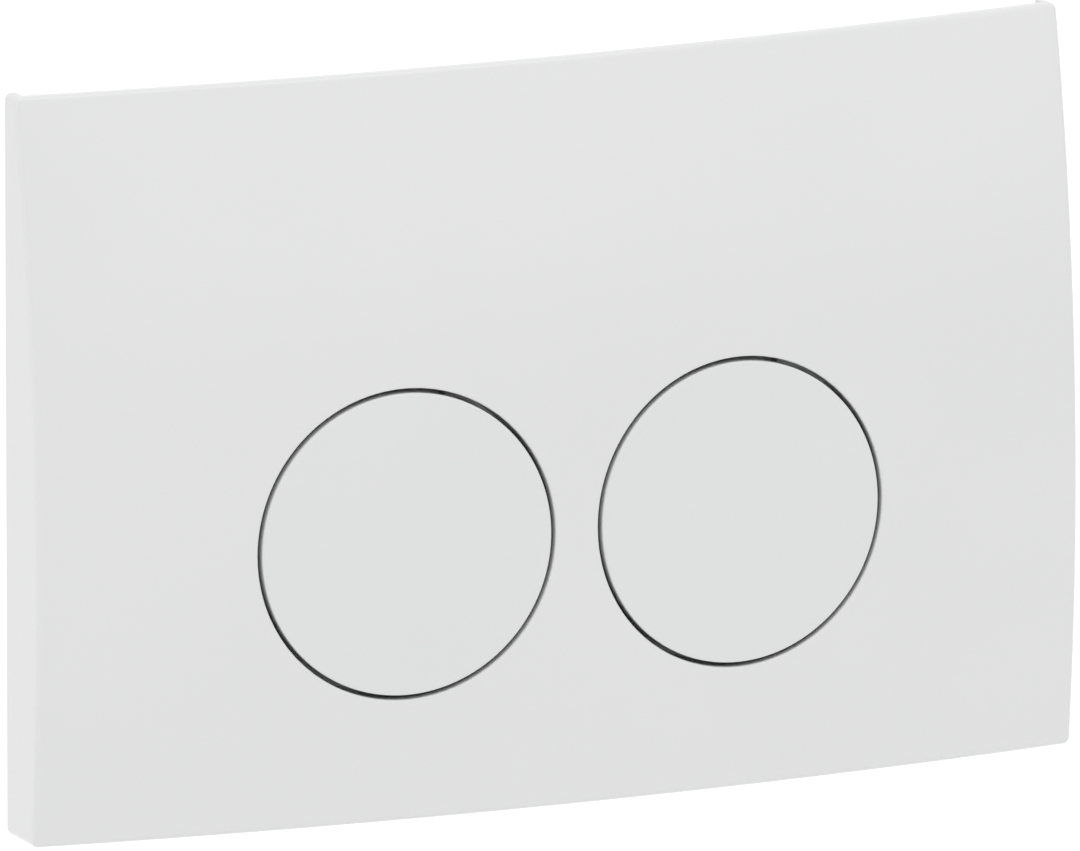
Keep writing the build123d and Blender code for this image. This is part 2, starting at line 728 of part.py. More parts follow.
def save(shape, name):
    """Writes one piece to its own file."""
    solids = shape.solids()
    export_step(solids[0] if len(solids) == 1 else Compound(children=solids), "parts/" + name + ".step")


os.makedirs("parts", exist_ok=True)
save(make_cover(), "cover_plate")
save(make_frame(), "mounting_frame")
for name, x, z in latch_places():
    save(make_latch_spring(x, z), name + "_latch_spring")
for word, side in (("left", -1), ("right", 1)):
    save(make_cap(side), word + "_button_cap")
    save(make_lever(side), word + "_lever")
    save(make_hinge_pin(side), word + "_hinge_pin")
    save(make_return_spring(side), word + "_return_spring")
    save(make_stop_buffer(side), word + "_stop_buffer")
    save(make_push_rod(side), word + "_push_rod")
    save(make_rod_head(side), word + "_rod_head")
    save(make_lock_nut(side), word + "_lock_nut")
    save(make_rod_guide(side), word + "_rod_guide")
    save(make_spacer_bolt(side), word + "_spacer_bolt")
    save(make_bolt_nut(side), word + "_bolt_nut")
print("hinge", round(hinge_y, 3), round(hinge_z, 3), "rod lever", round(rod_lever, 3))
print("travel of a rod", round(rod_travel, 3))
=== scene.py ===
import math

import bmesh
import bpy
from mathutils import Matrix, Vector


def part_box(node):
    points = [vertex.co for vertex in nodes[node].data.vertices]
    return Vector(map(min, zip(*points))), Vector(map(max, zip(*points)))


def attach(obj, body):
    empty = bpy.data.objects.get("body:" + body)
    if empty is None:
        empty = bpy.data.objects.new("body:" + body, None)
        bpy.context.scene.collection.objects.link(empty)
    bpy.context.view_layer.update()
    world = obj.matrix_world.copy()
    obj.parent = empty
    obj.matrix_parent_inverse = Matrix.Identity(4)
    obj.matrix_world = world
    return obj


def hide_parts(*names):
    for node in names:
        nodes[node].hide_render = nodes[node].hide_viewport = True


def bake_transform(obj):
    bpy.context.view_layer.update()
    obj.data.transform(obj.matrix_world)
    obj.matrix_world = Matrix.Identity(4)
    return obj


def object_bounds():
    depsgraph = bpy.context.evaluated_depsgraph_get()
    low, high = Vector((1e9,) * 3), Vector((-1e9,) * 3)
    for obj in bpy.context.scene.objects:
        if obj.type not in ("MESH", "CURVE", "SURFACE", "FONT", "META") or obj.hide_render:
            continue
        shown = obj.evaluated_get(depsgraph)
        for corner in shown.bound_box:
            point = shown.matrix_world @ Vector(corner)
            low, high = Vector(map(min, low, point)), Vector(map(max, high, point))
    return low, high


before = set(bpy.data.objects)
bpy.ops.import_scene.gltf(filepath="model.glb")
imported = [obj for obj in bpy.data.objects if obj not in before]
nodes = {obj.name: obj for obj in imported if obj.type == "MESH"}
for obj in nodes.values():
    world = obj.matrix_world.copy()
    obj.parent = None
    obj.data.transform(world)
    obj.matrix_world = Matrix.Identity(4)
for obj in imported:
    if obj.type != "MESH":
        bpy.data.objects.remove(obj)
cadLow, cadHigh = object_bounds()
print("frame loaded:", len(nodes), "pieces")

mm = 0.001
sides = ("left", "right")


# The bowed front and the places of its two buttons, which the finish, the cover and the levers share

frontValues = {"planRadius": 865.0 * mm, "profileRadius": 500.0 * mm, "profileCentreZ": -25.0 * mm,
               "halfWidth": 123.0 * mm, "edgeDepth": 18.0 * mm, "foremostY": -26.785 * mm,
               "buttonX": 39.4 * mm, "buttonZ": -20.2 * mm}


# Small helpers for objects, shader trees and geometry trees

def placed(name, data):
    thing = bpy.data.objects.new(name, data)
    bpy.context.scene.collection.objects.link(thing)
    return thing


def feed(tree, node, inputs):
    for key, value in inputs.items():
        if isinstance(value, bpy.types.NodeSocket):
            tree.links.new(value, node.inputs[key])
        else:
            node.inputs[key].default_value = value


def addNode(tree, kind, inputs=None, **settings):
    node = tree.nodes.new(kind)
    for key, value in settings.items():
        setattr(node, key, value)
    feed(tree, node, inputs or {})
    return node


def calc(tree, operation, a, b=0.0, c=0.0):
    return addNode(tree, "ShaderNodeMath", {0: a, 1: b, 2: c}, operation=operation).outputs[0]


def product(tree, first, *others):
    for other in others:
        first = calc(tree, "MULTIPLY", first, other)
    return first


def lengthOf(tree, a, b):
    return calc(tree, "SQRT", calc(tree, "ADD", product(tree, a, a), product(tree, b, b)))


def between(tree, value, low, high, newLow=0.0, newHigh=1.0):
    node = addNode(tree, "ShaderNodeMapRange", {"Value": value, "From Min": low, "From Max": high,
                                                "To Min": newLow, "To Max": newHigh}, clamp=True)
    return node.outputs["Result"]


def noise(tree, coords, scale, detail=2.0, roughness=0.5, distortion=0.0):
    node = addNode(tree, "ShaderNodeTexNoise", {"Vector": coords, "Scale": scale, "Detail": detail,
                                                "Roughness": roughness, "Distortion": distortion})
    return node.outputs["Fac"]


noiseMiddle = (0.3, 0.7)       # most of a noise lies between these two


def spread(tree, value, newLow=0.0, newHigh=1.0):
    return between(tree, value, *noiseMiddle, newLow, newHigh)


def stretched(tree, coords, scale):
    return addNode(tree, "ShaderNodeMapping", {"Vector": coords, "Scale": scale}).outputs["Vector"]


def mixColours(tree, factor, first, second):
    node = addNode(tree, "ShaderNodeMix", {0: factor, 6: first, 7: second}, data_type="RGBA")
    return node.outputs[2]


def bump(tree, height, strength, distance, below=None):
    inputs = {"Height": height, "Strength": strength, "Distance": distance}
    if below is not None:
        inputs["Normal"] = below
    return addNode(tree, "ShaderNodeBump", inputs).outputs["Normal"]


def newMaterial(name):
    material = bpy.data.materials.new(name)
    material.use_nodes = True
    tree = material.node_tree
    return material, tree, tree.nodes["Principled BSDF"], addNode(tree, "ShaderNodeTexCoord")


# Materials

glossValues = {
    "coverLight": (0.800, 0.806, 0.802, 1), "coverDark": (0.786, 0.793, 0.789, 1),
    "capLight": (0.792, 0.800, 0.797, 1), "capDark": (0.778, 0.787, 0.784, 1),
    "cloudScale": 14.0, "smearScale": 160.0, "smearDetail": 3.0,
    "frontRough": (0.13, 0.19), "backRough": (0.42, 0.52), "backFacing": (0.25, 0.6),
    "rippleScale": 55.0, "rippleStrength": 0.5, "rippleDepth": 0.004 * mm,
    "grainScale": 2200.0, "grainDetail": 3.0, "grainStrength": 0.6, "grainDepth": 0.03 * mm,
    "refraction": 1.52,
    # the ring gap values below place and colour the painted shade deep on the walls of each ring gap
    "gapRadius": 33.9 * mm, "gapReach": 0.8 * mm, "gapPaintedShade": (0.28, 0.28, 0.277, 1),
    "gapFade": (0.6 * mm, 3.0 * mm), "gapFacing": (0.15, 0.75),
}


def paintedGapShade(tree, coords, facing):
    # 1 deep on the two walls of each ring gap, where the colour is darkened as painted shade; the painted
    # shade is fitted to the photograph's dark ring line
    v, f = glossValues, frontValues
    parts = addNode(tree, "ShaderNodeSeparateXYZ", {0: coords}).outputs
    across = calc(tree, "SUBTRACT", calc(tree, "ABSOLUTE", parts["X"]), f["buttonX"])
    upward = calc(tree, "SUBTRACT", parts["Z"], f["buttonZ"])
    nearGap = calc(tree, "COMPARE", lengthOf(tree, across, upward), v["gapRadius"], v["gapReach"])
    upright = between(tree, calc(tree, "ABSOLUTE", facing), *v["gapFacing"], 1.0, 0.0)
    offMiddle = calc(tree, "SUBTRACT", parts["Z"], f["profileCentreZ"])
    bowed = calc(tree, "ADD", product(tree, parts["X"], parts["X"], 0.5 / f["planRadius"]),
                 product(tree, offMiddle, offMiddle, 0.5 / f["profileRadius"]))
    depth = calc(tree, "SUBTRACT", calc(tree, "SUBTRACT", parts["Y"], f["foremostY"]), bowed)
    return product(tree, nearGap, upright, between(tree, depth, *v["gapFade"]))


def glossWhite(name, light, dark):
    # satin on the moulded back, polished on the front
    v = glossValues
    material, tree, shader, place = newMaterial(name)
    coords = place.outputs["Object"]
    cloud = spread(tree, noise(tree, coords, v["cloudScale"]))
    plain = mixColours(tree, cloud, light, dark)
    facing = addNode(tree, "ShaderNodeSeparateXYZ", {0: place.outputs["Normal"]}).outputs["Y"]
    onBack = between(tree, facing, *v["backFacing"])
    smear = noise(tree, coords, v["smearScale"], v["smearDetail"])
    rough = addNode(tree, "ShaderNodeMix", {0: onBack, 2: spread(tree, smear, *v["frontRough"]),
                                            3: spread(tree, smear, *v["backRough"])}).outputs[0]
    ripple = bump(tree, noise(tree, coords, v["rippleScale"], 1.0), v["rippleStrength"], v["rippleDepth"])
    grain = noise(tree, coords, v["grainScale"], v["grainDetail"])
    grained = bump(tree, grain, product(tree, onBack, v["grainStrength"]), v["grainDepth"], ripple)
    # the base colour turns to painted shade deep on the walls of each ring gap
    feed(tree, shader, {"Base Color": mixColours(tree, paintedGapShade(tree, coords, facing), plain, v["gapPaintedShade"]),
                        "Roughness": rough, "Normal": grained, "IOR": v["refraction"]})
    return material


satinValues = {
    "framePlastic": {"light": (0.300, 0.310, 0.320, 1), "dark": (0.280, 0.289, 0.299, 1),
                     "rough": (0.50, 0.62), "grainScale": 1400.0, "grainDepth": 0.06 * mm,
                     "flow": (1, 1, 1)},
    "leverPlastic": {"light": (0.62, 0.63, 0.63, 1), "dark": (0.56, 0.57, 0.573, 1),
                     "rough": (0.34, 0.46), "grainScale": 1900.0, "grainDepth": 0.03 * mm,
                     "flow": (0.4, 1, 1)},
    "rodPlastic": {"light": (0.75, 0.75, 0.72, 1), "dark": (0.69, 0.69, 0.655, 1),
                   "rough": (0.30, 0.42), "grainScale": 1600.0, "grainDepth": 0.02 * mm,
                   "flow": (1, 0.08, 1)},
    "boltPlastic": {"light": (0.120, 0.220, 0.400, 1), "dark": (0.095, 0.180, 0.340, 1),
                    "rough": (0.36, 0.50), "grainScale": 1500.0, "grainDepth": 0.03 * mm,
                    "flow": (1, 0.3, 1)},
    "softRubber": {"light": (0.080, 0.080, 0.082, 1), "dark": (0.055, 0.055, 0.056, 1),
                   "rough": (0.68, 0.82), "grainScale": 2400.0, "grainDepth": 0.05 * mm,
                   "flow": (1, 1, 1)},
}
satinPattern = {"cloudScale": 240.0, "cloudDetail": 3.0, "cloudRoughness": 0.6, "cloudDistortion": 0.3,
                "smearScale": 420.0, "smearDetail": 3.0, "grainDetail": 4.0, "grainRoughness": 0.6,
                "grainStrength": 0.5}


def satinPlastic(name):
    v, p = satinValues[name], satinPattern
    material, tree, shader, place = newMaterial(name)
    coords = stretched(tree, place.outputs["Object"], v["flow"])
    cloud = noise(tree, coords, p["cloudScale"], p["cloudDetail"], p["cloudRoughness"],
                  p["cloudDistortion"])
    smear = noise(tree, coords, p["smearScale"], p["smearDetail"])
    grain = noise(tree, coords, v["grainScale"], p["grainDetail"], p["grainRoughness"])
    feed(tree, shader, {"Base Color": mixColours(tree, spread(tree, cloud), v["light"], v["dark"]),
                        "Roughness": spread(tree, smear, *v["rough"]),
                        "Normal": bump(tree, grain, p["grainStrength"], v["grainDepth"])})
    return material


steelValues = {"light": (0.70, 0.70, 0.69, 1), "dark": (0.56, 0.56, 0.55, 1), "rough": (0.22, 0.38),
               "lineScale": 1800.0, "lineDetail": 3.0, "lineRoughness": 0.6, "lineStrength": 0.4,
               "lineDepth": 0.012 * mm, "pinFlow": (0.05, 1, 1), "wireFlow": (1, 1, 1)}


def drawnSteel(name, flow, fromMap=False):
    v = steelValues
    material, tree, shader, place = newMaterial(name)
    coords = stretched(tree, place.outputs["UV" if fromMap else "Object"], flow)
    lines = noise(tree, coords, v["lineScale"], v["lineDetail"], v["lineRoughness"])
    feed(tree, shader, {"Base Color": mixColours(tree, spread(tree, lines), v["light"], v["dark"]),
                        "Roughness": spread(tree, lines, *v["rough"]), "Metallic": 1.0,
                        "Normal": bump(tree, lines, v["lineStrength"], v["lineDepth"])})
    return material


coverWhite = glossWhite("coverWhite", glossValues["coverLight"], glossValues["coverDark"])
capWhite = glossWhite("capWhite", glossValues["capLight"], glossValues["capDark"])
framePlastic = satinPlastic("framePlastic")
leverPlastic = satinPlastic("leverPlastic")
rodPlastic = satinPlastic("rodPlastic")
boltPlastic = satinPlastic("boltPlastic")
softRubber = satinPlastic("softRubber")
pinSteel = drawnSteel("pinSteel", steelValues["pinFlow"])
wireSteel = drawnSteel("wireSteel", steelValues["wireFlow"], fromMap=True)

finishOf = {"cover_plate": coverWhite, "button_cap": capWhite, "mounting_frame": framePlastic,
            "lever": leverPlastic, "hinge_pin": pinSteel, "latch_spring": pinSteel,
            "return_spring": wireSteel, "stop_buffer": softRubber, "rod_guide": rodPlastic,
            "spacer_bolt": boltPlastic, "bolt_nut": boltPlastic, "push_rod": rodPlastic,
            "rod_head": rodPlastic, "lock_nut": rodPlastic}
for nodeName, obj in nodes.items():
    finish = next(f for ending, f in finishOf.items() if nodeName.endswith(ending))
    obj.data.materials.clear()
    obj.data.materials.append(finish)
print("materials set")


# Cover: the moulded form, with the bowed front's own normals along its edges

coverValues = {"near": 0.01 * mm, "lean": 60.0, "mergeWithin": 0.0005 * mm}


def bowedNormal(point):
    # the bowed surface's own normal at a point, and how far the point lies from that surface
    f = frontValues
    axisY = math.sqrt(f["planRadius"] ** 2 - f["halfWidth"] ** 2) - f["edgeDepth"]
    outward = Vector((point.x, point.y - axisY, 0)).normalized()
    core = Vector((0, axisY, f["profileCentreZ"])) + outward * (f["planRadius"] - f["profileRadius"])
    way = point - core
    return way.normalized(), abs(way.length - f["profileRadius"])


def makeCover():
    v = coverValues
    source = nodes["cover_plate"].data
    leastAlong = math.cos(math.radians(v["lean"]))
    edit = bmesh.new()
    edit.from_mesh(source)
    wanted = edit.loops.layers.float_vector.new("wanted")
    corners = iter(source.corner_normals)
    for face in edit.faces:
        for loop in face.loops:
            given = next(corners).vector
            own, away = bowedNormal(loop.vert.co)
            onFront = away < v["near"] and given.dot(own) > leastAlong
            loop[wanted] = own if onFront else given
    bmesh.ops.remove_doubles(edit, verts=edit.verts, dist=v["mergeWithin"])
    mesh = bpy.data.meshes.new("bowed_cover")
    edit.to_mesh(mesh)
    edit.free()
    mesh.normals_split_custom_set([item.vector.copy() for item in mesh.attributes["wanted"].data])
    mesh.attributes.remove(mesh.attributes["wanted"])
    mesh.materials.append(coverWhite)
    piece = placed("bowed_cover", mesh)
    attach(piece, "plate")
    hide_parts("cover_plate")


makeCover()
print("cover made")


# Geometry Nodes helpers

def newTree(name, inputs):
    tree = bpy.data.node_groups.new(name, "GeometryNodeTree")
    tree.interface.new_socket("Geometry", in_out="INPUT", socket_type="NodeSocketGeometry")
    for label, kind in inputs.items():
        tree.interface.new_socket(label, in_out="INPUT", socket_type="NodeSocket" + kind)
    tree.interface.new_socket("Geometry", in_out="OUTPUT", socket_type="NodeSocketGeometry")
    return tree, tree.nodes.new("NodeGroupInput"), tree.nodes.new("NodeGroupOutput")


def finishTree(tree, geometry, group, output):
    real = addNode(tree, "GeometryNodeRealizeInstances", {"Geometry": geometry})
    dressed = addNode(tree, "GeometryNodeSetMaterial", {"Geometry": real.outputs[0],
                                                        "Material": group.outputs["Material"]})
    tree.links.new(dressed.outputs[0], output.inputs[0])


def madeBy(tree, source, values, name):
    modifier = source.modifiers.new("made", "NODES")
    modifier.node_group = tree
    for item in tree.interface.items_tree:
        if item.item_type == "SOCKET" and item.in_out == "INPUT" and item.name in values:
            modifier[item.identifier] = values[item.name]
    bpy.context.view_layer.update()
    evaluated = source.evaluated_get(bpy.context.evaluated_depsgraph_get())
    mesh = bpy.data.meshes.new_from_object(evaluated)
    source.modifiers.remove(modifier)
    bpy.data.objects.remove(source)
    return placed(name, mesh)


# Threaded pieces: a plain turned body, then the tree rolls the thread into it

def turnedBody(name, outline, x, z, around):
    points = []
    faces = []
    for radius, y in outline:
        for step in range(around):
            angle = 2 * math.pi * step / around
            points.append((x + radius * math.cos(angle), y, z + radius * math.sin(angle)))
    for row in range(len(outline) - 1):
        for step in range(around):
            following = (step + 1) % around
            a, b = row * around + step, row * around + following
            faces.append((a, a + around, b + around, b))
    faces.append(tuple(range(around)))
    faces.append(tuple(reversed(range((len(outline) - 1) * around, len(outline) * around))))
    mesh = bpy.data.meshes.new(name)
    mesh.from_pydata(points, [], faces)
    mesh.update()
    return placed(name, mesh)


def rowsBetween(radius, fromY, toY, step):
    count = max(1, round((toY - fromY) / step))
    return [(radius, fromY + (toY - fromY) * i / count) for i in range(count + 1)]


# flat crest, straight flanks, flat root; the slot's blade is wider and deeper than what it cuts
threadValues = {"crestTo": 0.18, "rootFrom": 0.82, "shankWithin": 0.02 * mm,
                "bladeWidths": 3.0, "bladeDepths": 2.0}


def threadTree():
    v = threadValues
    tree, group, output = newTree("rolledThread", {
        "Axis X": "Float", "Axis Z": "Float", "Pitch": "Float", "Depth": "Float", "Radius": "Float",
        "From": "Float", "To": "Float", "Run Out": "Float", "Slot Width": "Float",
        "Slot Depth": "Float", "Slot Y": "Float", "Material": "Material"})
    g = group.outputs
    position = addNode(tree, "GeometryNodeInputPosition").outputs[0]
    parts = addNode(tree, "ShaderNodeSeparateXYZ", {0: position}).outputs
    acrossX = calc(tree, "SUBTRACT", parts["X"], g["Axis X"])
    acrossZ = calc(tree, "SUBTRACT", parts["Z"], g["Axis Z"])
    radius = lengthOf(tree, acrossX, acrossZ)
    turn = calc(tree, "DIVIDE", calc(tree, "ARCTAN2", acrossZ, acrossX), 2 * math.pi)
    along = calc(tree, "DIVIDE", parts["Y"], g["Pitch"])
    phase = calc(tree, "FRACT", calc(tree, "ADD", along, turn))
    flank = calc(tree, "ABSOLUTE", calc(tree, "MULTIPLY_ADD", phase, 2.0, -1.0))
    valley = between(tree, flank, v["crestTo"], v["rootFrom"])
    startY = calc(tree, "ADD", g["From"], g["Run Out"])
    endY = calc(tree, "SUBTRACT", g["To"], g["Run Out"])
    rising = between(tree, parts["Y"], g["From"], startY)
    falling = between(tree, parts["Y"], endY, g["To"], 1.0, 0.0)
    onShank = calc(tree, "COMPARE", radius, g["Radius"], v["shankWithin"])
    share = product(tree, product(tree, rising, falling), product(tree, valley, onShank))
    inward = calc(tree, "DIVIDE", product(tree, share, g["Depth"], -1.0), radius)
    offset = addNode(tree, "ShaderNodeCombineXYZ", {"X": product(tree, acrossX, inward),
                                                    "Z": product(tree, acrossZ, inward)})
    threaded = addNode(tree, "GeometryNodeSetPosition", {"Geometry": g["Geometry"],
                                                         "Offset": offset.outputs[0]})
    size = addNode(tree, "ShaderNodeCombineXYZ", {"X": product(tree, g["Radius"], v["bladeWidths"]),
                                                  "Y": product(tree, g["Slot Depth"], v["bladeDepths"]),
                                                  "Z": g["Slot Width"]})
    blade = addNode(tree, "GeometryNodeMeshCube", {"Size": size.outputs[0]})
    bladePlace = addNode(tree, "ShaderNodeCombineXYZ", {"X": g["Axis X"], "Y": g["Slot Y"],
                                                        "Z": g["Axis Z"]})
    bladeThere = addNode(tree, "GeometryNodeTransform", {"Geometry": blade.outputs[0],
                                                         "Translation": bladePlace.outputs[0]})
    slotted = addNode(tree, "GeometryNodeMeshBoolean", {"Mesh 1": threaded.outputs[0],
                                                        "Mesh 2": bladeThere.outputs[0]},
                      operation="DIFFERENCE")
    hasSlot = calc(tree, "GREATER_THAN", g["Slot Depth"], 0.0)
    chosen = addNode(tree, "GeometryNodeSwitch", {"Switch": hasSlot, "False": threaded.outputs[0],
                                                  "True": slotted.outputs["Mesh"]},
                     input_type="GEOMETRY")
    finishTree(tree, chosen.outputs[0], group, output)
    return tree


boltValues = {"shankRadius": 4.0 * mm, "pitch": 2.0 * mm, "depth": 0.55 * mm, "chamfer": 0.8 * mm,
              "collarFrom": -2.0 * mm, "collarTo": 1.0 * mm, "collarEase": 0.2 * mm,
              "runOut": 1.0 * mm, "around": 40, "stepsPerTurn": 8,
              "slotWidth": 1.2 * mm, "slotDepth": 1.6 * mm}


def makeSpacerBolt(tree, side):
    v = boltValues
    nodeName = side + "_spacer_bolt"
    low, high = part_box(nodeName)
    x, z = (low.x + high.x) / 2, (low.z + high.z) / 2
    wide, ease = (high.x - low.x) / 2, v["collarEase"]
    radius, chamfer = v["shankRadius"], v["chamfer"]
    fromY, toY = v["collarFrom"], v["collarTo"]
    step = v["pitch"] / v["stepsPerTurn"]
    outline = [(radius - chamfer, low.y)]
    outline += rowsBetween(radius, low.y + chamfer, fromY - v["runOut"], step)
    outline += [(radius, fromY), (wide - ease, fromY), (wide, fromY + ease),
                (wide, toY - ease), (wide - ease, toY), (radius, toY)]
    outline += rowsBetween(radius, toY + v["runOut"], high.y - chamfer, step)
    outline += [(radius - chamfer, high.y)]
    body = turnedBody(nodeName + "_blank", outline, x, z, v["around"])
    piece = madeBy(tree, body, {
        "Axis X": x, "Axis Z": z, "Pitch": v["pitch"], "Depth": v["depth"], "Radius": radius,
        "From": low.y, "To": high.y, "Run Out": v["runOut"], "Slot Width": v["slotWidth"],
        "Slot Depth": v["slotDepth"], "Slot Y": low.y, "Material": boltPlastic},
        side + "_threaded_bolt")
    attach(piece, "plate")
    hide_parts(nodeName)


rodValues = {"shankRadius": 3.0 * mm, "pitch": 1.0 * mm, "depth": 0.42 * mm, "chamfer": 0.8 * mm,
             "threadTo": -1.6 * mm, "runOut": 0.8 * mm, "around": 36, "stepsPerTurn": 8,
             "plainStep": 6 * mm, "stepEase": 0.3 * mm,
             "spigotRadius": 2.5 * mm, "spigotLength": 20.0 * mm}


def makePushRod(tree, side):
    v = rodValues
    nodeName = side + "_push_rod"
    low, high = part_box(nodeName)
    x, z = (low.x + high.x) / 2, (low.z + high.z) / 2
    radius, chamfer, spigot, ease = v["shankRadius"], v["chamfer"], v["spigotRadius"], v["stepEase"]
    stepY = high.y - v["spigotLength"]
    outline = [(radius - chamfer, low.y)]
    outline += rowsBetween(radius, low.y + chamfer, v["threadTo"], v["pitch"] / v["stepsPerTurn"])
    outline += rowsBetween(radius, v["threadTo"] + v["runOut"], stepY - ease, v["plainStep"])
    outline += [(radius - ease, stepY), (spigot, stepY), (spigot, high.y - chamfer),
                (spigot - chamfer, high.y)]
    body = turnedBody(nodeName + "_blank", outline, x, z, v["around"])
    piece = madeBy(tree, body, {
        "Axis X": x, "Axis Z": z, "Pitch": v["pitch"], "Depth": v["depth"], "Radius": radius,
        "From": low.y, "To": v["threadTo"], "Run Out": v["runOut"], "Slot Width": 0.0,
        "Slot Depth": 0.0, "Slot Y": low.y, "Material": rodPlastic},
        side + "_threaded_rod")
    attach(piece, side + "_rod")
    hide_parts(nodeName)


thread = threadTree()
for side in sides:
    makeSpacerBolt(thread, side)
    makePushRod(thread, side)
print("threaded bolts and rods made")


# Return springs: round wire swept along a path of leg, coil and leg

springValues = {"wire": 0.9 * mm, "coilRadius": 2.4 * mm, "turns": 5, "lowerLeg": 16.0 * mm,
                "lowerAngle": math.radians(-5.13), "upperAngle": math.radians(18.0), "tipShort": 0.3,
                "pointsPerTurn": 28, "sides": 14, "mapScale": 0.05}


def wireTree():
    tree, group, output = newTree("wireAlongPath", {"Wire": "Float", "Sides": "Int",
                                                    "Material": "Material"})
    g = group.outputs
    ring = addNode(tree, "GeometryNodeCurvePrimitiveCircle", {"Resolution": g["Sides"],
                                                              "Radius": product(tree, g["Wire"], 0.5)})
    kept = {}
    for label, curve in (("along", g["Geometry"]), ("around", ring.outputs[0])):
        length = addNode(tree, "GeometryNodeSplineParameter").outputs["Length"]
        kept[label] = addNode(tree, "GeometryNodeCaptureAttribute", {"Geometry": curve}, domain="POINT")
        kept[label].capture_items.new("FLOAT", label)
        tree.links.new(length, kept[label].inputs[label])
    swept = addNode(tree, "GeometryNodeCurveToMesh", {"Curve": kept["along"].outputs["Geometry"],
                                                      "Profile Curve": kept["around"].outputs["Geometry"],
                                                      "Fill Caps": True})
    lengthwise = product(tree, kept["along"].outputs["along"], springValues["mapScale"])
    chart = addNode(tree, "ShaderNodeCombineXYZ", {"X": lengthwise,
                                                   "Y": kept["around"].outputs["around"]})
    stored = addNode(tree, "GeometryNodeStoreNamedAttribute", {"Geometry": swept.outputs[0],
                                                               "Name": "UVMap",
                                                               "Value": chart.outputs[0]},
                     data_type="FLOAT2", domain="CORNER")
    smooth = addNode(tree, "GeometryNodeSetShadeSmooth", {"Geometry": stored.outputs[0]})
    finishTree(tree, smooth.outputs[0], group, output)
    return tree


def pathCurve(name, points):
    curve = bpy.data.curves.new(name, "CURVE")
    curve.dimensions = "3D"
    spline = curve.splines.new("POLY")
    spline.points.add(len(points) - 1)
    for point, place in zip(spline.points, points):
        point.co = (*place, 1)
    return placed(name, curve)


def makeReturnSpring(tree, side):
    v = springValues
    nodeName = side + "_return_spring"
    low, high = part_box(nodeName)
    pinLow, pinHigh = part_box(side + "_hinge_pin")
    hinge = (pinLow + pinHigh) / 2
    wire, coil = v["wire"] / 2, v["coilRadius"]
    startAngle, endAngle = v["lowerAngle"], v["upperAngle"]
    turn = 2 * math.pi * v["turns"] + endAngle - startAngle
    startX, endX = low.x + wire, high.x - wire

    def coilPoint(angle, x):
        return Vector((x, hinge.y + coil * math.cos(angle), hinge.z + coil * math.sin(angle)))

    def along(angle):
        return Vector((0, -math.sin(angle), math.cos(angle)))

    first = coilPoint(startAngle, startX)
    points = [first - along(startAngle) * v["lowerLeg"] * share for share in (1.0, 0.5)]
    count = int(v["pointsPerTurn"] * turn / (2 * math.pi))
    for i in range(count + 1):
        share = i / count
        points.append(coilPoint(startAngle + turn * share, startX + (endX - startX) * share))
    last = points[-1]
    upperLeg = (high.z - last.z) / math.cos(endAngle) - wire * v["tipShort"]
    points += [last + along(endAngle) * upperLeg * share for share in (0.5, 1.0)]
    path = pathCurve(nodeName + "_path", points)
    piece = madeBy(tree, path, {"Wire": v["wire"], "Sides": v["sides"], "Material": wireSteel},
                   side + "_leg_spring")
    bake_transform(piece)
    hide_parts(nodeName)


# Lever lips: the stretch of each lever's rim between its hinge arms, notched for the spring's leg

lipValues = {"innerRadius": 28.5 * mm, "outerRadius": 35.0 * mm, "wall": 1.5 * mm,
             "behindHinge": 0.5 * mm, "halfWidth": 11.5 * mm, "notchEase": 0.3 * mm,
             "chamfer": 0.15 * mm, "steps": 16}


def lipStrip(edit, centreX, fromX, toX, frontY):
    v = lipValues
    inner, outer, c = v["innerRadius"], v["outerRadius"], v["chamfer"]
    backY = frontY + v["wall"]
    section = [(inner + c, frontY), (outer - c, frontY), (outer, frontY + c), (outer, backY - c),
               (outer - c, backY), (inner + c, backY), (inner, backY - c), (inner, frontY + c)]
    rows = []
    for step in range(v["steps"] + 1):
        x = fromX + (toX - fromX) * step / v["steps"]
        row = [(centreX + x, y, frontValues["buttonZ"] + math.sqrt(radius ** 2 - x ** 2))
               for radius, y in section]
        rows.append([edit.verts.new(point) for point in row])
    for row, following in zip(rows, rows[1:]):
        for i in range(len(section)):
            j = (i + 1) % len(section)
            edit.faces.new((row[i], following[i], following[j], row[j]))
    edit.faces.new(rows[0])
    edit.faces.new(reversed(rows[-1]))


def makeLeverLip(side):
    v = lipValues
    centreX = frontValues["buttonX"] * (1 if side == "right" else -1)
    pinLow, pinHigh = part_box(side + "_hinge_pin")
    frontY = (pinLow.y + pinHigh.y) / 2 + v["behindHinge"]
    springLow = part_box(side + "_return_spring")[0]
    legLow = springLow.x - v["notchEase"] - centreX
    legHigh = springLow.x + springValues["wire"] + v["notchEase"] - centreX
    edit = bmesh.new()
    lipStrip(edit, centreX, -v["halfWidth"], legLow, frontY)
    lipStrip(edit, centreX, legHigh, v["halfWidth"], frontY)
    bmesh.ops.recalc_face_normals(edit, faces=edit.faces)
    mesh = bpy.data.meshes.new(side + "_lever_lip")
    edit.to_mesh(mesh)
    edit.free()
    mesh.materials.append(leverPlastic)
    piece = placed(side + "_lever_lip", mesh)
    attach(piece, side + "_button")


wirePath = wireTree()
for side in sides:
    makeReturnSpring(wirePath, side)
    makeLeverLip(side)
print("return springs and lever lips made")


# Floor, light and camera

stageValues = {"floorDrop": 0.25, "floorSize": 9.0, "floorColour": (0.90, 0.90, 0.90, 1),
               "floorRough": 0.9, "speckScale": 30.0, "speckShade": 0.995, "lift": 0.30,
               "worldColour": (1.0, 1.0, 1.0, 1), "worldDiffuse": 0.84}


def seenStraight(tree):
    # 1 where the camera looks, also by way of a reflection or through a clear thing, 0 for light that falls
    rays = addNode(tree, "ShaderNodeLightPath").outputs
    return calc(tree, "MAXIMUM", rays["Is Camera Ray"],
                calc(tree, "MAXIMUM", rays["Is Glossy Ray"], rays["Is Transmission Ray"]))


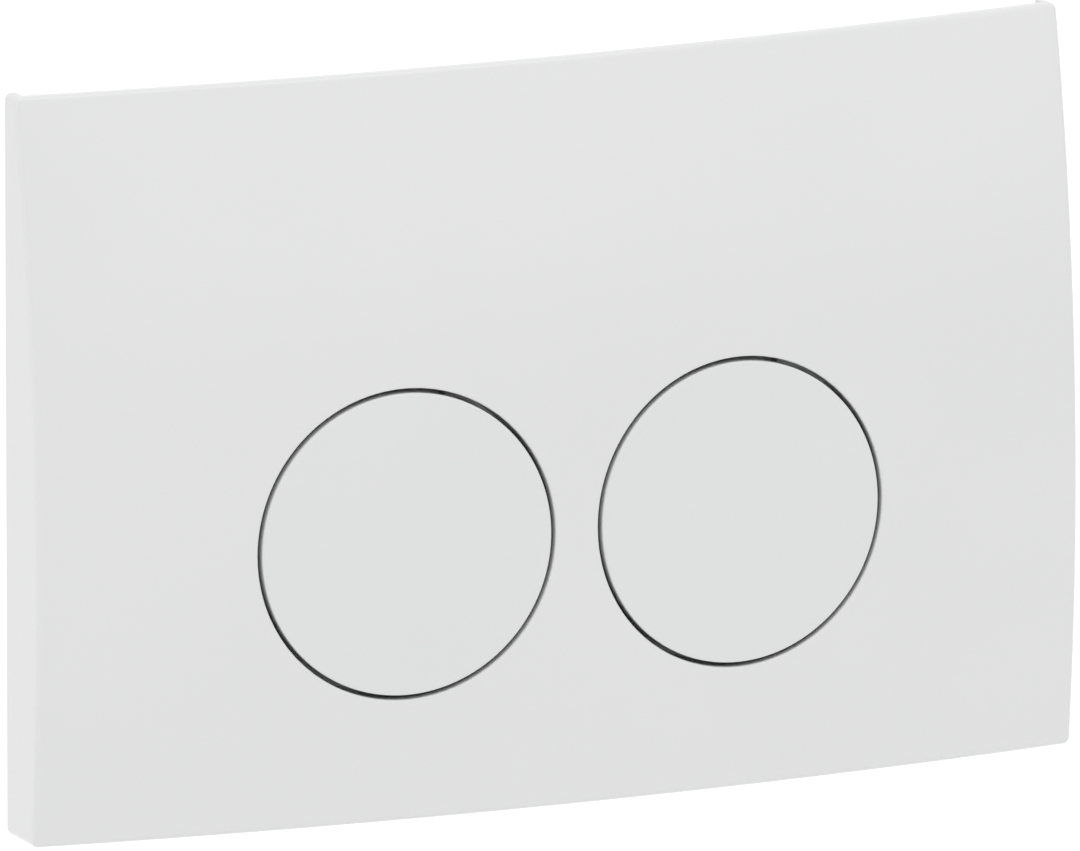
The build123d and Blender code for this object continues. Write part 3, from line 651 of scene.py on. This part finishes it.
def makeFloor():
    v = stageValues
    half = v["floorSize"] / 2
    z = cadLow.z - v["floorDrop"]
    corners = [(-half, -half, z), (half, -half, z), (half, half, z), (-half, half, z)]
    mesh = bpy.data.meshes.new("floor")
    mesh.from_pydata(corners, [], [(0, 1, 2, 3)])
    material, tree, shader, place = newMaterial("paleFloor")
    pale = v["floorColour"]
    shaded = tuple(c * v["speckShade"] for c in pale[:3]) + (1,)
    speck = noise(tree, place.outputs["Object"], v["speckScale"])
    feed(tree, shader, {"Base Color": mixColours(tree, speck, pale, shaded),
                        "Roughness": v["floorRough"], "Emission Color": (1, 1, 1, 1),
                        "Emission Strength": product(tree, seenStraight(tree), v["lift"])})
    mesh.materials.append(material)
    floor = placed("floor", mesh)


def makeWorld():
    v = stageValues
    world = bpy.data.worlds.new("paleRoom")
    bpy.context.scene.world = world
    world.use_nodes = True
    tree = world.node_tree
    strength = between(tree, seenStraight(tree), 0.0, 1.0, v["worldDiffuse"], 1.0)
    feed(tree, tree.nodes["Background"], {"Color": v["worldColour"], "Strength": strength})


lampValues = {
    "topSoft": {"place": (0.0, -0.28, 1.40), "size": (1.3, 1.0), "watts": 3.2},
    "leftSoft": {"place": (-1.80, -0.05, 0.30), "size": (1.0, 1.2), "watts": 2.3},
    "frontFill": {"place": (0.85, -1.80, 0.50), "size": (1.6, 1.0), "watts": 2.1},
}


def makeLamps():
    for name, v in lampValues.items():
        data = bpy.data.lights.new(name, "AREA")
        data.shape = "RECTANGLE"
        data.size, data.size_y = v["size"]
        data.energy = v["watts"]
        lamp = placed(name, data)
        lamp.location = v["place"]
        lamp.rotation_euler = (-Vector(v["place"])).to_track_quat("-Z", "Y").to_euler()


cameraValues = {"azimuth": -23.611, "elevation": 12.764, "distance": 7.2596, "lens": 1115.45,
                "sensor": 36.0, "aim": (0.0, -8.0 * mm, 0.0), "slideRight": -0.557 * mm,
                "slideUp": -0.845 * mm, "clip": (0.1, 50.0)}


def makeCamera():
    v = cameraValues
    azimuth, elevation = math.radians(v["azimuth"]), math.radians(v["elevation"])
    back = Vector((math.sin(azimuth) * math.cos(elevation), -math.cos(azimuth) * math.cos(elevation),
                   math.sin(elevation)))
    right = Vector((math.cos(azimuth), math.sin(azimuth), 0))
    up = back.cross(right)
    data = bpy.data.cameras.new("photoCamera")
    data.lens, data.sensor_width = v["lens"], v["sensor"]
    data.clip_start, data.clip_end = v["clip"]
    camera = placed("photoCamera", data)
    aim = Vector(v["aim"])
    camera.location = aim + back * v["distance"] + right * v["slideRight"] + up * v["slideUp"]
    camera.rotation_euler = Matrix((right, up, back)).transposed().to_euler()
    bpy.context.scene.camera = camera


makeFloor()
makeWorld()
makeLamps()
makeCamera()
bpy.context.scene.view_settings.view_transform = "Standard"
print("floor, light and camera set")

print("cad box", [round(c * 1000, 2) for c in (*cadLow, *cadHigh)])
